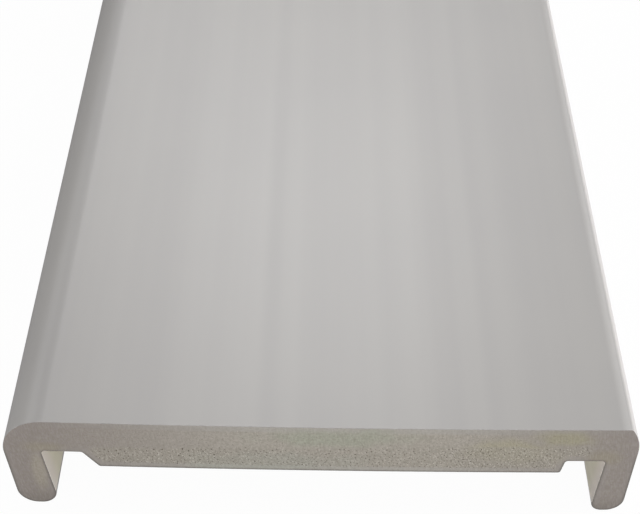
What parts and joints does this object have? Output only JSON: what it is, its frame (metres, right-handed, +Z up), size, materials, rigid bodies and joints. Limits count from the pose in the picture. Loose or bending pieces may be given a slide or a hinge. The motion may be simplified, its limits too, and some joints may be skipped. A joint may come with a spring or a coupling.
{
  "type": "fascia box end",
  "caption": "Long plastic roofline board with rounded edges, a leg down both sides and grooves behind the legs that take soffit boards, used to close the end of a boxed eave.",
  "frame": {"origin": "below the middle of the board, at the height of the leg tips it lies on", "axes": "+Y along the board, +X across it to the edge with the flatter nose, +Z up from the leg tips to the face"},
  "size_m": [0.175, 1.25, 0.0347],
  "materials": {
    "board": "satin white co-extruded skin on a cellular PVC-U core that shows at the sawn ends"
  },
  "bodies": {
    "root": {"box_end_board": "board"}
  },
  "joints": []
}
